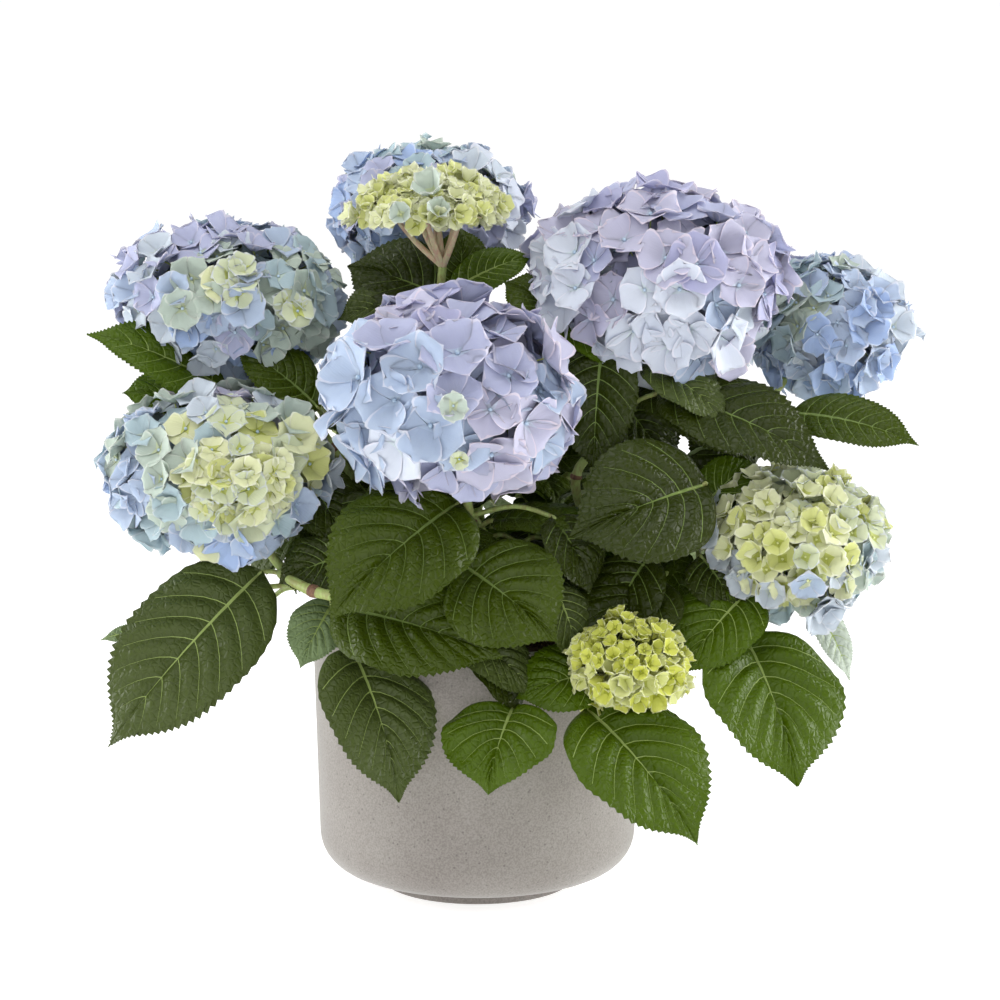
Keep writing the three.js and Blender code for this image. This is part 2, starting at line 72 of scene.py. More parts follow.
# Each flower head: its middle, the cane and the points that its shoot passes, how many florets,
# their size and how far they cup. Lengths are in millimetres.
# patches: where each tone gathers, as direction, pull and kinds of floret.
# young: groups set on top, as direction, spread, count, kinds, size and how deep they sit.
HEAD_USUAL = dict(inset=0.10, drop=0, rough=0.045, tilt=0.20, swell_low=1.0, flat=False, stalk=0,
                  bead="bead_blue", slot="petal_blue", young=[])
HEADS = {
    "head_left_upper": dict(
        at=(-178, 25, 420), cane="cane_left", via=[(-92, 2, 300)], count=142, size=16, cup=0.4,
        patches=[
            ((-0.7, -0.5, 0.5), 1, "sky lilac lilac frost"),
            ((0, -0.9, 0.4), 0.75, "sky aqua sage lilac"),
            ((0.7, -0.6, 0.3), 0.8, "aqua sky sage"),
            ((-0.2, -0.6, -0.7), 0.8, "sky frost azure"),
            ((0.1, 0.6, 0.6), 1, "sky lilac aqua")],
        young=[
            ((0.1, -0.9, 0.42), 0.17, 5, "dawn dawn cream", 13.5, 0.05),
            ((0.55, -0.8, 0.05), 0.1, 2, "dawn", 15, 0.05)]),
    "head_left_lower": dict(
        at=(-181, -50, 309), cane="cane_left", via=[(-92, -52, 224), (-132, -58, 236)], count=130,
        size=16, cup=0.42, slot="petal_cream",
        patches=[
            ((0.36, -0.85, 0.15), 0.7, "cream cream dawn butter"),
            ((-0.2, -0.9, 0.3), 0.55, "sage aqua aqua"),
            ((0.45, -0.55, -0.7), 0.42, "sky frost aqua"),
            ((-0.8, -0.4, 0), 1, "aqua aqua sage sky"),
            ((0.1, 0.1, 1), 0.7, "sage frost rose"),
            ((0.3, 0.9, 0.1), 1, "aqua sky sage")],
        young=[
            ((0.22, -0.95, 0.05), 0.5, 36, "cream cream dawn butter", 12, 0.04),
            ((0.3, -0.68, -0.66), 0.16, 3, "azure sky sky", 20, 0.02)]),
    "head_back_tall": dict(
        at=(-36, 122, 474), cane="cane_rear", via=[(-22, 100, 340)], count=122, size=15, cup=0.42,
        patches=[
            ((-0.5, -0.6, 0.5), 1, "sky sky azure aqua lilac"),
            # the pale and frost florets on this side are painted light, lifting a side that lies
            # in shade
            ((0.6, -0.6, 0.2), 1, "pale lilac frost pale"),
            ((0, 0.5, 0.7), 1, "sky sage aqua")]),
    "head_young_cream": dict(
        at=(-32, -12, 484), cane="cane_rear", via=[(-24, 20, 330)], count=150, size=8.8, cup=0.8,
        stalk=1, slot="petal_cream", bead="bead_cream", flat=True,
        patches=[
            ((0, -0.6, 0.8), 1, "cream butter cream"),
            ((0.9, 0, 0), 0.7, "butter cream"),
            ((-0.9, 0, 0), 0.7, "cream cream butter")],
        young=[
            ((0.05, -0.75, 0.65), 0.02, 1, "sage", 14, -0.04),
            ((-0.35, -0.9, 0.2), 0.02, 1, "sage", 10, -0.04),
            ((0.12, -0.95, 0.22), 0.02, 1, "sage", 9, -0.04),
            ((-0.93, -0.2, 0.06), 0.06, 2, "cream", 13, -0.04)]),
    "head_middle": dict(
        at=(-17, -108, 369), cane="cane_front", via=[(-4, -74, 280)], count=72, size=24.5,
        cup=0.3, inset=0.13, slot="petal_lilac",
        patches=[
            ((-0.6, -0.7, 0.1), 1, "sky lilac pale sky"),
            ((0.6, -0.6, 0.3), 1, "lilac sky rose"),
            ((0, -0.3, 0.9), 0.8, "lilac rose violet"),
            ((0.2, -0.6, -0.8), 0.9, "sky lilac rose"),
            ((0, 0.9, 0.1), 1, "sky lilac")],
        young=[
            ((0.03, -1, 0.12), 0.01, 1, "sage", 10, -0.05),
            ((0.07, -0.85, -0.38), 0.01, 1, "dawn", 7.5, -0.05)]),
    "head_right_upper": dict(
        at=(126, 2, 440), cane="cane_right", via=[(70, -28, 300), (92, -20, 338)], count=104,
        size=21.5, cup=0.34, drop=6, slot="petal_lilac",
        patches=[
            ((-0.2, -0.7, 0.7), 1, "lilac violet rose"),
            ((0.7, -0.5, 0.5), 1, "violet lilac rose"),
            # the pale florets on this side are painted light, lifting a side that lies in shade
            ((-0.8, -0.5, 0.1), 1, "pale rose pale"),
            # the pale florets under the head are partly their own pale tone and partly painted
            # light on an underside in shade
            ((-0.1, -0.7, -0.5), 1, "pale sky pale"),
            ((0.8, -0.3, -0.4), 0.8, "rose violet frost"),
            ((0, 0.9, 0.2), 1, "lilac sky violet")]),
    "head_right_back": dict(
        at=(256, 88, 392), cane="cane_right", via=[(170, 40, 300)], count=104, size=16, cup=0.4,
        patches=[
            ((-0.2, -0.8, 0.6), 0.6, "sage aqua sky"),
            ((0.7, -0.6, 0.1), 1, "sky azure frost"),
            ((0, -0.5, -0.8), 1, "sky azure"),
            ((0, 0.9, 0.2), 1, "sky azure lilac")]),
    "head_right_lower": dict(
        at=(223, -50, 258), cane="cane_right", via=[(150, -30, 226)], count=170, size=12,
        cup=0.62, slot="petal_cream", bead="bead_cream",
        patches=[
            ((0.1, -0.8, 0.4), 1.3, "cream butter cream dawn"),
            ((-0.9, -0.4, 0.2), 0.45, "frost cream cream"),
            ((0.5, -0.5, -0.8), 0.62, "frost aqua sage"),
            ((0.1, 0.9, 0.2), 1, "butter cream sage")],
        young=[
            ((-0.86, -0.45, 0.24), 0.02, 1, "frost", 17, -0.12),
            ((0.1, -0.93, -0.3), 0.02, 1, "sky", 15, -0.02),
            ((0.34, -0.6, -0.74), 0.14, 3, "frost sky", 16, -0.04)]),
    "head_lime_bud": dict(
        at=(104, -132, 191), cane="cane_front", via=[(50, -92, 212)], count=150, size=7, cup=0.75,
        slot="petal_lime", bead="bead_lime", rough=0.1, tilt=0.36, swell_low=1.45,
        patches=[
            ((0, -0.5, 0.9), 1, "lime moss lime"),
            ((0.8, -0.4, -0.2), 0.6, "butter lime"),
            ((-0.8, -0.4, -0.2), 0.6, "lime butter")],
        young=[((-0.78, -0.3, 0.52), 0.02, 1, "butter", 6, -0.16)]),
    "head_rear_left": dict(
        at=(-172, 158, 388), cane="cane_rear", via=[(-92, 110, 300)], count=88, size=18, cup=0.28,
        patches=[((0, 0.6, 0.7), 1, "sky aqua frost"), ((-0.7, 0.3, 0.2), 1, "azure sky")]),
    "head_rear_middle": dict(
        at=(15, 192, 340), cane="cane_rear", via=[(4, 130, 270)], count=88, size=18, cup=0.28,
        slot="petal_lilac",
        patches=[((0, 0.6, 0.7), 1, "lilac violet sky"), ((0, 0.8, -0.4), 1, "sky rose")]),
    "head_rear_right": dict(
        at=(150, 168, 402), cane="cane_rear", via=[(90, 110, 300)], count=90, size=18, cup=0.28,
        patches=[((0, 0.6, 0.7), 1, "sky lilac frost"), ((0.7, 0.3, 0), 1, "azure sky lilac")]),
}
# at, heading, dip, length, width, turn, tone
LEAVES = {
    "leaf_far_left": ((-168, -8, 353), 192, -26, 122, 58, -44, "bright"),
    "leaf_big_left": ((-151, -62, 240), 206, 44, 165, 94, -50, "grey_and_painted_sheen"),
    "leaf_left_rim": ((-99, -78, 222), 236, 44, 58, 44, -20, "pale"),
    "leaf_over_rim": ((-87, -106, 196), 302, 56, 118, 88, 0, "grey_and_painted_sheen"),
    "leaf_front_low": ((26, -128, 159), 250, 42, 74, 86, 0, "bright"),
    "leaf_front_right": ((76, -128, 157), 318, 38, 128, 98, 22, "bright"),
    "leaf_right_hanging": ((187, -66, 196), 296, 50, 122, 110, 0, "bright"),
    "leaf_under_cream": ((192, -66, 228), 222, 36, 88, 66, -30, "bright"),
    "leaf_far_right": ((226, 18, 340), 338, 10, 98, 46, 40, "mid"),
    "leaf_right_shelf": ((128, -30, 362), 338, 20, 136, 72, 34, "deep"),
    "leaf_dark_glossy": ((160, -72, 304), 208, 14, 114, 96, -56, "deep"),
    # this leaf lies in shade under the heads; its deep tone is partly its own dark green and
    # partly painted shade
    "leaf_dark_low": ((128, -74, 236), 226, 30, 82, 76, -24, "deep"),
    "leaf_middle_left": ((-12, -110, 298), 216, 32, 128, 98, -36, "mid"),
    "leaf_middle_low": ((-99, -106, 224), 342, 12, 128, 84, 50, "mid"),
    "leaf_middle": ((-8, -112, 254), 328, 30, 88, 88, 46, "mid"),
    "leaf_top_left": ((-24, 26, 422), 162, -16, 78, 70, -46, "deep"),
    "leaf_top_right": ((-18, 20, 428), 14, -22, 66, 38, 42, "bright"),
    "leaf_by_bud": ((90, -110, 180), 200, 12, 70, 58, -44, "bright"),
    "leaf_under_left_head": ((-112, -20, 349), 184, -38, 76, 54, -46, "mid"),
    "leaf_under_right_head": ((60, -12, 410), 166, -34, 52, 48, -40, "mid"),
    # this leaf's near-white tone is a painted highlight standing in for strong light on it
    "leaf_pale_hanging": ((232, -34, 222), 335, 60, 74, 28, 34, "painted_highlight"),
    "leaf_rear_left": ((-120, 120, 262), 140, 34, 140, 92, 0, "mid"),
    "leaf_rear_right": ((110, 130, 262), 44, 34, 140, 92, 0, "bright"),
    "leaf_rear_low": ((-20, 158, 206), 98, 40, 120, 84, 0, "mid"),
    "leaf_side_right": ((170, 60, 258), 12, 36, 130, 84, 0, "mid"),
}
# smaller leaves: foot, tip, width, turn, tone
SMALL_LEAVES = [
    ((89, -30, 401), (82, -62, 313), 60, 0, "deep"),
    ((118, -32, 384), (173, -60, 347), 50, 24, "grey_and_painted_sheen"),
    ((116, -6, 365), (194, -36, 316), 62, 30, "deep"),
    ((158, -40, 280), (195, -30, 314), 42, 50, "bright"),
    ((52, -92, 285), (78, -108, 236), 58, 10, "deep"),
    # this leaf lies in shade under the heads; its deep tone is partly its own dark green and
    # partly painted shade
    ((121, -80, 255), (89, -96, 196), 66, -24, "deep"),
    ((-20, -114, 214), (40, -128, 168), 56, 30, "grey_and_painted_sheen"),
    ((0, -118, 192), (30, -132, 156), 44, 10, "deep"),
    ((52, -106, 240), (70, -120, 188), 46, 10, "grey_and_painted_sheen"),
    ((-11, 34, 426), (-13, 44, 472), 40, 0, "mid"),
    ((-91, -86, 256), (-136, -92, 239), 46, -50, "deep"),
    ((-147, -40, 215), (-199, -46, 180), 64, -46, "mid"),
    ((-125, -40, 310), (-90, -76, 260), 56, 20, "deep"),
    ((93, 20, 358), (137, -2, 302), 62, 30, "deep"),
    ((56, -14, 416), (106, -34, 382), 50, 30, "bright"),
    ((197, 0, 302), (153, 16, 333), 58, -44, "deep"),
    ((157, -60, 251), (181, -80, 215), 50, 26, "deep"),
    ((-203, -20, 354), (-249, -26, 362), 40, -40, "bright"),
    ((-219, -4, 295), (-266, -10, 292), 40, -40, "mid"),
    ((-220, -44, 191), (-266, -44, 188), 18, -40, "pale"),
    ((-70, -60, 296), (-88, -84, 240), 64, -10, "deep"),
    ((-40, 24, 418), (-98, 10, 410), 46, -40, "grey_and_painted_sheen"),
]
# twigs in each leafy mass
TWIGS = {"leafage_front": 10, "leafage_left": 9, "leafage_right": 11, "leafage_rear": 13,
         "leafage_top": 8}

# ---- finishes


def linear(code):
    """An sRGB hex colour as linear RGBA."""
    parts = [int(code[k:k + 2], 16) / 255 for k in (1, 3, 5)]
    return tuple(c / 12.92 if c <= 0.04045 else ((c + 0.055) / 1.055) ** 2.4
                 for c in parts) + (1.0,)


def node(tree, kind, settings=None, **feeds):
    """Adds one node with its settings, and links or sets what feeds its sockets."""
    made = tree.nodes.new("ShaderNode" + kind)
    for key, value in (settings or {}).items():
        setattr(made, key, value)
    for key, value in feeds.items():
        feed(tree, made.inputs[key.replace("_", " ")], value)
    return made


def feed(tree, socket, value):
    """Links a socket to another, or sets its value."""
    if isinstance(value, bpy.types.NodeSocket):
        tree.links.new(value, socket)
    else:
        socket.default_value = value


def ramp(tree, value, *stops):
    """A colour ramp between two stops, each a place and a hex colour."""
    made = node(tree, "ValToRGB", Fac=value)
    for stop, (place, code) in zip(made.color_ramp.elements, stops):
        stop.position, stop.color = place, linear(code)
    return made.outputs["Color"]


def noise(tree, place, size_mm, detail, roughness=0.5):
    """Noise with lumps of a given size."""
    return node(tree, "TexNoise", Vector=place, Scale=1000 / size_mm, Detail=detail,
                Roughness=roughness).outputs["Fac"]


def mix(tree, factor, first, second, blend="MIX"):
    """Two colours mixed or multiplied. Their sockets share names, so they go by place."""
    made = node(tree, "Mix", {"data_type": "RGBA", "blend_type": blend}, Factor=factor)
    feed(tree, made.inputs[6], first)
    feed(tree, made.inputs[7], second)
    return made.outputs[2]


def finish(name, across=None):
    """An empty material, its tree and the coordinates that its patterns follow."""
    made = bpy.data.materials.new(name)
    made.use_nodes = True
    tree = made.node_tree
    tree.nodes.clear()
    return made, tree, node(tree, "TexCoord").outputs[across] if across else None


def close(tree, relief, **shader):
    """The surface shader at the end of a material. relief: what raises its bump, how strongly
    and how far."""
    if relief:
        height, strength, far = relief
        bump = node(tree, "Bump", Height=height, Strength=strength, Distance=far)
        shader["Normal"] = bump.outputs["Normal"]
    surface = node(tree, "BsdfPrincipled", **shader)
    node(tree, "OutputMaterial", Surface=surface.outputs["BSDF"])


def petal(name, code):
    """Living sepal: thin and matt, with fine veins from its claw to its rim. The veins are
    about 1 mm apart, and show as a soft ribbing where light grazes them."""
    made, tree, along = finish("sepal_" + name, "UV")
    stretched = node(tree, "Mapping", Vector=along, Scale=(110, 1000, 1)).outputs["Vector"]
    ribs = node(tree, "TexNoise", Vector=stretched, Scale=0.8, Detail=2.0).outputs["Fac"]
    close(tree, (ribs, 0.35, 0.5 * MM), Base_Color=linear(code), Roughness=0.6,
          Specular_IOR_Level=0.25, Subsurface_Weight=0.45, Subsurface_Radius=(1.0, 1.0, 1.0),
          Subsurface_Scale=2 * MM)
    return made


def leaf_skin(name, code, roughness, relief_mm):
    """Leaf blade: a thin waxy skin over a net of veins about 4 mm across, which breaks its
    sheen into small facets."""
    made, tree, along = finish("leaf_" + name, "UV")
    net = node(tree, "TexVoronoi", {"feature": "DISTANCE_TO_EDGE"}, Vector=along,
               Scale=1000 / 4.5, Randomness=0.8).outputs["Distance"]
    edges = node(tree, "MapRange", Value=net, From_Max=0.22).outputs["Result"]
    fine = noise(tree, along, 1.6, 2.0)
    both = node(tree, "Math", {"operation": "MULTIPLY_ADD"})
    for socket, value in zip(both.inputs, (fine, 0.2, edges)):
        feed(tree, socket, value)
    close(tree, (both.outputs["Value"], 0.65, relief_mm * MM), Base_Color=linear(code),
          Roughness=roughness, Specular_IOR_Level=0.22)
    return made


def stem_skin(name, code, spot_code, spots_mm, roughness, relief_mm):
    """Stem or bark: colour broken by small lenticels and scurf, stretched along the stem."""
    made, tree, place = finish(name, "Object")
    drawn = node(tree, "Mapping", Vector=place, Scale=(1, 1, 0.35)).outputs["Vector"]
    grain = noise(tree, drawn, spots_mm, 4.0, 0.65)
    tint = ramp(tree, grain, (0.38, spot_code), (0.58, code))
    close(tree, (grain, 0.7, relief_mm * MM), Base_Color=tint, Roughness=roughness)
    return made


def cast_stone():
    """Cast stone: cement with fine sand and dark grit in it, left matt from its mould and
    dusty, so that it pales where it turns away. Grit is 1 to 2 mm, the clouding of the cement
    about 60 mm."""
    made, tree, place = finish("cast_stone", "Object")
    clouds = noise(tree, place, 60, 5.0, 0.6)
    cement = ramp(tree, clouds, (0.32, "#8a8581"), (0.68, "#94908c"))
    sand = noise(tree, place, 1.3, 2.0)
    grains = ramp(tree, sand, (0.36, "#d9d5d1"), (0.62, "#fffdfa"))
    body = mix(tree, 0.8, cement, grains, "MULTIPLY")
    cells = node(tree, "TexVoronoi", Vector=place, Scale=1000 / 5.5).outputs["Distance"]
    grit = node(tree, "MapRange", Value=cells, From_Min=0.10, From_Max=0.17,
                To_Min=0.55, To_Max=0.0).outputs["Result"]
    specked = mix(tree, grit, body, linear("#55504c"))
    close(tree, (sand, 0.35, 0.35 * MM), Base_Color=specked, Roughness=0.86,
          Sheen_Weight=0.36, Sheen_Roughness=0.45)
    return made


def peat():
    """Moist peat compost: dark brown fibre and crumbs of 3 to 8 mm."""
    made, tree, place = finish("peat_compost", "Object")
    crumb = noise(tree, place, 5, 6.0, 0.7)
    tint = ramp(tree, crumb, (0.35, "#1f1510"), (0.66, "#5b4230"))
    close(tree, (crumb, 0.9, 2 * MM), Base_Color=tint, Roughness=0.95)
    return made


# body, rim and heart of each kind of floret; the paler rim is partly the sepal's own paler,
# pinker edge and partly a painted highlight along the edge
FLORETS = {
    "lilac": "#a9adc9 #c0bdd1 #b1bdd4",
    "violet": "#a4a5c4 #bab4cc #aab1ce",
    "rose": "#b4b3c9 #cac0cf #b8bfd1",
    "sky": "#a7b6ce #bdc3d4 #b1c1d6",
    "azure": "#97abd0 #b0bdd8 #a6b8d6",
    "frost": "#b9c3ce #cbd0d8 #c0cbc8",
    "pale": "#cbd2e0 #d9dae6 #ccd8de",
    "aqua": "#a3b7be #b7c5ca #b1c2b8",
    "sage": "#adbaae #bec6bb #b9c49e",
    "dawn": "#c4ccaa #c6cdca #b9c26c",
    "cream": "#d4d8aa #dfe1c2 #bcc36a",
    "butter": "#c8cd84 #d7daa6 #b0b758",
    "lime": "#c5ca58 #dadd98 #a8ae38",
    "moss": "#b2b84c #c9cd80 #979d34",
}
BEADS = {"bead_blue": "#b0c3d4", "bead_cream": "#dbe0a4", "bead_lime": "#bcc548"}
# tone #434f22 is partly the leaves' own dull grey-green and partly a painted sheen
# tone #b2bdae is a painted highlight: a near-white green standing in for strong light on the pale
# hanging leaf, not its own colour
LEAF_TONES = {"deep": ("#2b3504", 0.34), "mid": ("#394801", 0.36), "bright": ("#445a01", 0.40),
              "grey_and_painted_sheen": ("#434f22", 0.37), "pale": ("#697b53", 0.55), "painted_highlight": ("#b2bdae", 0.6)}
RIB_TONES = {"rib_light": "#99ac62", "rib_dark": "#728646"}

sepals = {key: [petal(key + part, code)
                for part, code in zip(("_body", "_rim", "_heart"), codes.split())]
          for key, codes in FLORETS.items()}
beads = {key: petal(key, code) for key, code in BEADS.items()}
leaf_skins = {key: leaf_skin(key, *tone, 0.8) for key, tone in LEAF_TONES.items()}
leaf_under = leaf_skin("underside", "#7f9063", 0.7, 0.8)
ribs = {key: leaf_skin(key, code, 0.5, 0.1) for key, code in RIB_TONES.items()}
green_stem = stem_skin("green_stem", "#9db066", "#8a8a50", 3.0, 0.5, 0.2)
stem_node = stem_skin("stem_node", "#7a5a40", "#553226", 2.0, 0.65, 0.4)
# the young stalks and forks are their own pale tan with pinkish spots, lightened further as
# painted light because they lie in the shade of their head
young_stalk_painted_light = stem_skin("young_stalk_painted_light", "#f4edc8", "#f0d0b8", 2.5, 0.5, 0.2)
cane_bark = stem_skin("cane_bark", "#8f7a58", "#57452f", 5.0, 0.85, 1.2)
stone = cast_stone()
compost = peat()

# ---- meshes from arrays


def fill(items, key, values, kind=np.float32):
    """Sets one value of all the points, corners or faces of a mesh."""
    items.foreach_set(key, values.astype(kind).ravel())


class Heap:
    """Gathers many small shapes of one kind into one mesh."""

    def __init__(self, materials):
        self.materials = materials
        self.points, self.faces, self.tones, self.maps = [], [], [], []
        self.count = 0

    def add(self, points, faces, tones, maps=None):
        """points (n, 3), faces (m, 3), tones: material of each face, maps: a UV per point."""
        faces = np.asarray(faces)
        self.points.append(points)
        self.faces.append(faces + self.count)
        self.tones.append(np.broadcast_to(tones, len(faces)))
        self.maps.append(np.zeros((len(points), 2)) if maps is None else maps)
        self.count += len(points)

    def make(self, name, replaced):
        """Makes the joined mesh, and hides the solids that it stands for."""
        points, faces = np.concatenate(self.points), np.concatenate(self.faces)
        tones, maps = np.concatenate(self.tones), np.concatenate(self.maps)
        mesh = bpy.data.meshes.new(name)
        mesh.vertices.add(len(points))
        mesh.loops.add(faces.size)
        mesh.polygons.add(len(faces))
        for material in self.materials:
            mesh.materials.append(material)
        fill(mesh.vertices, "co", points)
        fill(mesh.loops, "vertex_index", faces, np.int32)
        fill(mesh.polygons, "loop_start", np.arange(0, faces.size, 3), np.int32)
        fill(mesh.polygons, "material_index", tones, np.int32)
        fill(mesh.polygons, "use_smooth", np.ones(len(faces)), bool)
        fill(mesh.uv_layers.new(name="surface").data, "uv", maps[faces.ravel()])
        mesh.update(calc_edges=True)
        mesh.validate()
        mesh.set_sharp_from_angle(angle=math.radians(85))
        declare(in_scene(name, mesh), replaced)


def in_scene(name, data):
    """A new object in the scene."""
    made = bpy.data.objects.new(name, data)
    scene.collection.objects.link(made)
    return made


def declare(piece, replaced):
    """A finished piece rides on the one body and stands in for its solids, which it hides."""
    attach(piece, "root")
    if replaced:
        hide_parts(*replaced)


def pillow(rows, columns):
    """Triangles of a closed thin sheet: a top and an underside grid that share their edge.
    Gives the faces, and how many of them are the top's."""
    top = np.arange(rows * columns).reshape(rows, columns)
    under = top.copy()
    inner = (rows - 2) * (columns - 2)
    under[1:-1, 1:-1] = rows * columns + np.arange(inner).reshape(rows - 2, columns - 2)
    faces = []
    for grid, flipped in ((top, False), (under, True)):
        a, b = grid[:-1, :-1].ravel(), grid[1:, :-1].ravel()
        c, d = grid[1:, 1:].ravel(), grid[:-1, 1:].ravel()
        half = np.stack([np.stack([a, b, c], 1), np.stack([a, c, d], 1)], 1).reshape(-1, 3)
        faces.append(half[:, ::-1] if flipped else half)
    return np.concatenate(faces), len(faces[0])


def smooth_route(points, steps):
    """Points along a smooth curve through the given ones (Catmull-Rom)."""
    p = np.asarray(points, dtype=float)
    p = np.vstack([2 * p[0] - p[1], p, 2 * p[-1] - p[-2]])
    spans = len(p) - 3
    route = []
    for k in range(steps + 1):
        whole = min(int(k * spans / steps), spans - 1)
        t = k * spans / steps - whole
        a, b, c, d = p[whole:whole + 4]
        route.append(0.5 * (2 * b + (c - a) * t + (2 * a - 5 * b + 4 * c - d) * t ** 2
                            + (3 * b - a - 3 * c + d) * t ** 3))
    return np.array(route)


def unit(v):
    """Vectors at length 1."""
    v = np.asarray(v)
    return v / np.maximum(np.linalg.norm(v, axis=-1, keepdims=True), 1e-12)


def tube(route, radii, sides, relief=None):
    """Points and faces of a closed round limb. relief: share that each point stands out."""
    count = len(route)
    tangents = unit(np.gradient(route, axis=0))
    across = np.cross(tangents[0], (0.0, 0.0, 1.0))
    if np.linalg.norm(across) < 0.2:
        across = np.cross(tangents[0], (1.0, 0.0, 0.0))
    rings = []
    angles = np.arange(sides) * math.tau / sides
    for k in range(count):
        across = unit(across - tangents[k] * across.dot(tangents[k]))
        over = np.cross(tangents[k], across)
        swell = 1 if relief is None else relief[k][:, None]
        rings.append(route[k] + radii[k] * swell * (np.cos(angles)[:, None] * across
                                                   + np.sin(angles)[:, None] * over))
    points = np.vstack(rings + [route[:1], route[-1:]])
    grid = np.arange(count * sides).reshape(count, sides)
    turned = np.roll(grid, -1, axis=1)
    a, b, c, d = (g.ravel() for g in (grid[:-1], turned[:-1], turned[1:], grid[1:]))
    first, last = count * sides, count * sides + 1
    faces = np.concatenate([
        np.stack([a, b, c], 1), np.stack([a, c, d], 1),
        np.stack([np.full(sides, first), turned[0], grid[0]], 1),
        np.stack([np.full(sides, last), grid[-1], turned[-1]], 1)])
    return points, faces


def M(points):
    """Millimetres as metres."""
    return np.array(points, dtype=float) * MM


def up(height):
    """A step straight up."""
    return np.array([0.0, 0.0, height])


def about(axis, angle):
    """A turn about X, Y or Z (0, 1 or 2)."""
    turned, i, j = np.eye(3), (axis + 1) % 3, (axis + 2) % 3
    turned[i, i] = turned[j, j] = math.cos(angle)
    turned[j, i] = math.sin(angle)
    turned[i, j] = -turned[j, i]
    return turned


def place_of(heading, dip, turn):
    """Turns a leaf that points along +X with its face up, by degrees."""
    heading, dip, turn = map(math.radians, (heading, dip, turn))
    return about(2, heading) @ about(1, dip) @ about(0, turn)


# ---- leaves

FINE = dict(rows=58, first=6, gap=6, sides=(0.15, 0.33, 0.53, 0.73, 0.90, 1.0))
COARSE = dict(rows=30, first=3, gap=5, sides=(0.25, 0.55, 0.85, 1.0))
# half the width of a blade along it, as a share of its greatest half width
OUTLINE = ((0, 0.01, 0.03, 0.07, 0.13, 0.21, 0.31, 0.41, 0.51, 0.61, 0.70, 0.78, 0.84, 0.88, 0.91,
            0.94, 0.97, 1.0),
           (0, 0.20, 0.37, 0.56, 0.74, 0.88, 0.97, 1.0, 0.985, 0.92, 0.80, 0.62, 0.43, 0.28, 0.18,
            0.11, 0.06, 0.0))


def blade(at, heading, dip, length, width, turn, detail):
    """A serrate blade whose rows of points follow the side veins as they arch to the teeth.
    Gives points, faces, UVs, which faces are ribs and how many faces are the upper side's."""
    rows, gap = detail["rows"], detail["gap"]
    veins = np.arange(detail["first"], int(rows * 0.81), gap)
    side = np.array(detail["sides"])
    rib = 0.95 * MM / (width / 2)
    across = np.concatenate([-side[::-1], [-rib, rib], side])
    v = np.abs(across)
    along = np.repeat((np.arange(rows + 1) / rows)[:, None], len(across), 1)
    # two rows close together on each side vein
    narrow = np.where(v < 0.95, (0.37 - 0.28 * v) * MM / length, 0.4 / rows)
    for k in veins:
        middle = (k + 0.5) / rows
        along[k], along[k + 1] = middle - narrow, middle + narrow
    sweep = min(0.40, 0.46 * width / length) * rng.uniform(0.92, 1.0)
    drawn = along + sweep * np.sin(math.pi * along ** 0.75) * (0.45 * v + 0.55 * v ** 2)
    margin = drawn[:, -1]
    row = np.arange(rows + 1)
    half = np.maximum(width / 2 * np.interp(margin, *OUTLINE), np.where(row == 0, 1.5, 0.4) * MM)
    # a tooth every second row, smaller towards the base
    pitch = np.minimum(np.gradient(margin) * length, 1.1 * length / rows)
    pitch = pitch * np.clip(row / (0.4 * rows), 0.25, 1)
    tooth = np.where(row % 2 == 0, -0.65, 0.45) * pitch
    edge = (v > 0.95)[None, :]
    inner_half = half.copy()
    for k in veins:
        inner_half[k] = inner_half[k + 1] = half[k:k + 2].mean()
    y = across * np.where(edge, half[:, None], inner_half[:, None]) + np.where(
        edge, np.sign(across) * tooth[:, None], 0.0)
    y = y * np.where(v < 0.1, np.clip(1.5 - 1.5 * drawn, 0.25, 1.5), 1.0)
    x_push = np.where(edge & (row % 2 == 1)[:, None], 0.7 * pitch[:, None], 0.0)
    # the midrib arches up from the petiole and down to the tip
    table = np.linspace(0, 1.05, 106)
    droop = rng.uniform(4, 16)
    slope = np.radians(34 * (0.5 - table) - droop * np.clip(table - 0.55, 0, 1) ** 2 * 4)
    x_mid, z_mid = (np.concatenate([[0], np.cumsum(part(slope[:-1]))]) * length / 100
                    for part in (np.cos, np.sin))
    angle = np.interp(drawn, table, slope)
    phase = ((row[:, None] - veins[0] - 0.5) / gap) % 1
    quilt = np.sin(math.pi * phase) ** 0.75 * np.clip(v / 0.2, 0, 1) * (1 - v ** 4) * np.clip(
        (0.97 - drawn) / 0.35, 0, 1)
    size = width / (90 * MM)
    wave = rng.uniform(1.2, 2.8) * MM * size * np.sin(
        drawn * math.pi * rng.uniform(3.4, 5.5) + across * 0.8 + rng.uniform(0, 6.28)) * v ** 2.5
    fold = math.radians(14 * rng.uniform(0.8, 1.25))
    lift = np.abs(y) * math.sin(fold) * (1 - 0.62 * v) + 5.6 * MM * size * quilt + wave
    x = np.interp(drawn, table, x_mid) + x_push - np.sin(angle) * lift
    z = np.interp(drawn, table, z_mid) + np.cos(angle) * lift
    top = np.stack([x, y * math.cos(fold), z], -1)
    under = top[1:-1, 1:-1] - up(BLADE_THICK)
    local = np.concatenate([top.reshape(-1, 3), under.reshape(-1, 3)])
    uv = np.stack([drawn * length, y], -1)
    maps = np.concatenate([uv.reshape(-1, 2), uv[1:-1, 1:-1].reshape(-1, 2)])
    columns = len(across)
    faces, tops = pillow(rows + 1, columns)
    strip_row = np.repeat(np.isin(np.arange(rows), veins)[:, None], columns - 1, 1)
    strip_row[:, 0] = strip_row[:, -1] = False
    strip_row[:, len(side)] = True
    is_rib = np.repeat(strip_row.ravel(), 2)
    points = local @ place_of(heading, dip, turn).T + at
    return points, faces, maps, is_rib, tops


LEAF_MATERIALS = [*leaf_skins.values(), leaf_under, *ribs.values()]
UNDER = len(LEAF_TONES)
LIGHT_RIB, DARK_RIB = UNDER + 1, UNDER + 2


